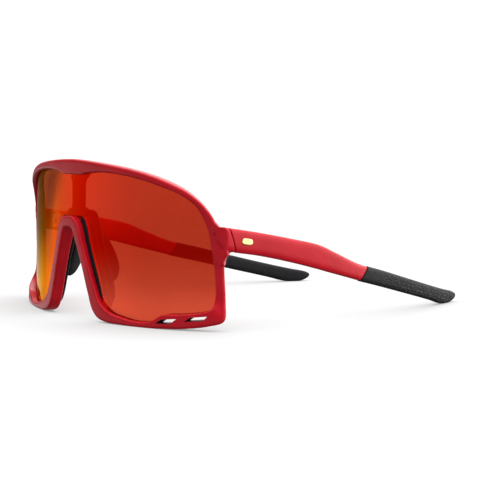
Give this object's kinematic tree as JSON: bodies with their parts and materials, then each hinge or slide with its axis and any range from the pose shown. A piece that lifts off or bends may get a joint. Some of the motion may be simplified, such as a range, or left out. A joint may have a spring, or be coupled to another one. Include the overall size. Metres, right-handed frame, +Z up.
{
  "type": "wraparound sport sunglasses",
  "caption": "Wraparound shield sunglasses with a vented full rim, curved mirror lens, rubber nose pads and folding temples with rubber tips.",
  "frame": {"origin": "under the middle of the bounding box, on the surface the sunglasses rest on", "axes": "+X towards the wearer's left, +Y from the lens towards the temple tips, +Z up"},
  "size_m": [0.1426, 0.1606, 0.0624],
  "materials": {
    "red_plastic": "satin red moulding",
    "lens": "red-orange mirror coating",
    "black_plastic": "satin black moulding",
    "rubber": "matt, finely stippled",
    "gold_trim": "polished",
    "steel": "turned"
  },
  "bodies": {
    "front": {"front_frame": "red_plastic", "shield_lens": "lens", "nose_carrier": "black_plastic", "carrier_screw": "steel", "nose_pad_left": "rubber", "nose_pad_right": "rubber", "front_hinge_left": "steel", "front_hinge_right": "steel", "hinge_screw_left": "steel", "hinge_screw_right": "steel"},
    "left_arm": {"temple_left": "red_plastic", "temple_tip_left": "rubber", "temple_inlay_left": "gold_trim", "temple_hinge_left": "steel", "leaf_screw_front_left": "steel", "leaf_screw_back_left": "steel"},
    "right_arm": {"temple_right": "red_plastic", "temple_tip_right": "rubber", "temple_inlay_right": "gold_trim", "temple_hinge_right": "steel", "leaf_screw_front_right": "steel", "leaf_screw_back_right": "steel"}
  },
  "joints": [
    {"name": "left_temple_fold", "type": "hinge", "parent": "front", "child": "left_arm", "pos_m": [0.0646, -0.04795, 0.034], "axis": [0, 0, 1], "range_deg": [0, 84]},
    {"name": "right_temple_fold", "type": "hinge", "parent": "front", "child": "right_arm", "pos_m": [-0.0646, -0.04795, 0.034], "axis": [0, 0, -1], "range_deg": [0, 80]}
  ]
}
